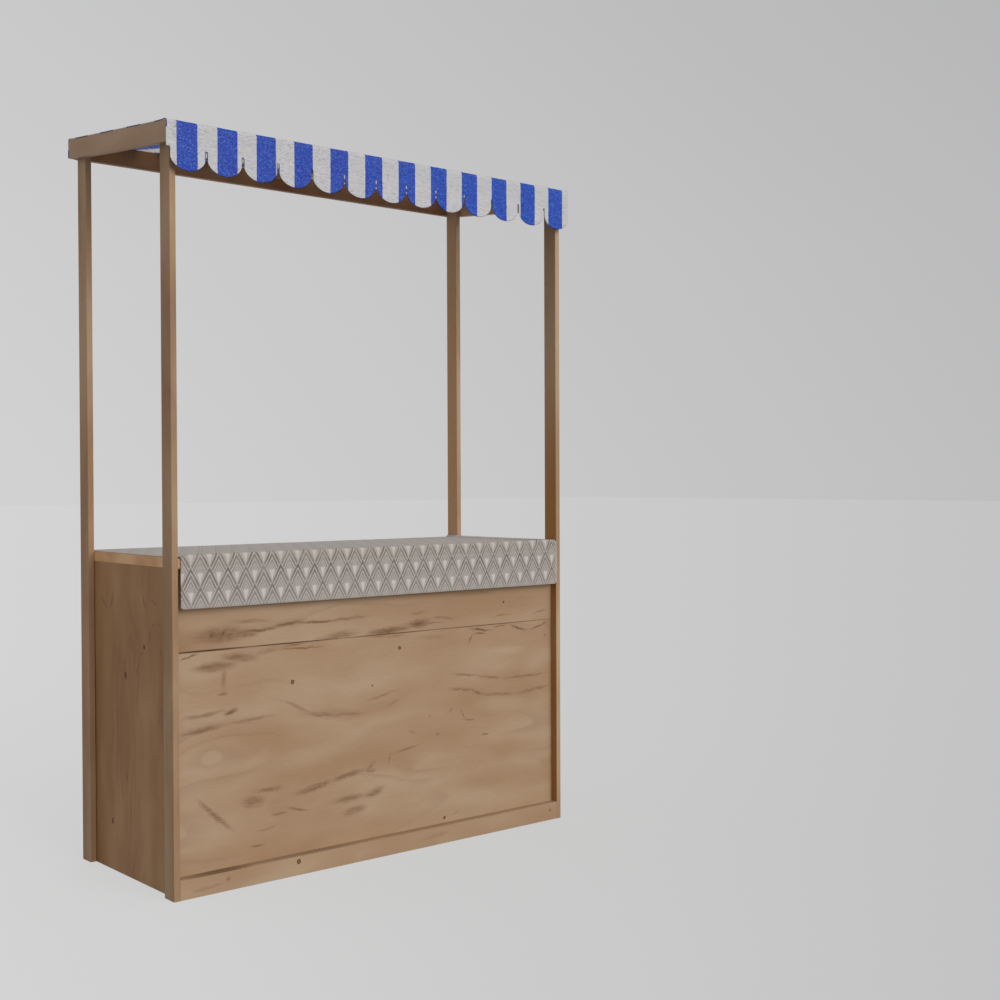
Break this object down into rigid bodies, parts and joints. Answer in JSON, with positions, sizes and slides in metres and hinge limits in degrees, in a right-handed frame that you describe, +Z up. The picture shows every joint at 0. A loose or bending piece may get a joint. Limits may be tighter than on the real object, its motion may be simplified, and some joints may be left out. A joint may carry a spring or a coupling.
{
  "type": "market stall",
  "caption": "Wooden market stall: box counter with open storage bay at the back, thin posts and a sloping striped canopy with scalloped valance.",
  "frame": {"origin": "on the ground, in the middle of the plan between the outermost cloth faces", "axes": "+Z up; the customer stands on the -Y side, the seller on the +Y side; +X to the customer's right"},
  "size_m": [1.436, 0.612, 2.121],
  "materials": {
    "stained_wood": "satin oil stain",
    "striped_awning_cloth": "coated woven cloth, slight sheen",
    "patterned_table_cloth": "matte printed cotton"
  },
  "bodies": {
    "root": {"post_front_left": "stained_wood", "post_front_right": "stained_wood", "post_back_left": "stained_wood", "post_back_right": "stained_wood", "side_board_left": "stained_wood", "side_board_right": "stained_wood", "front_board_lower": "stained_wood", "front_board_upper": "stained_wood", "kick_rail": "stained_wood", "counter_top": "stained_wood", "storage_shelf": "stained_wood", "canopy_rail_front": "stained_wood", "canopy_rail_back": "stained_wood", "canopy_rail_left": "stained_wood", "canopy_rail_right": "stained_wood", "canopy_batten": "stained_wood", "canopy_cloth_roof": "striped_awning_cloth", "canopy_cloth_valance": "striped_awning_cloth", "canopy_cloth_back_hem": "striped_awning_cloth", "counter_cloth_top": "patterned_table_cloth", "counter_cloth_front": "patterned_table_cloth", "counter_cloth_back": "patterned_table_cloth"}
  },
  "joints": []
}
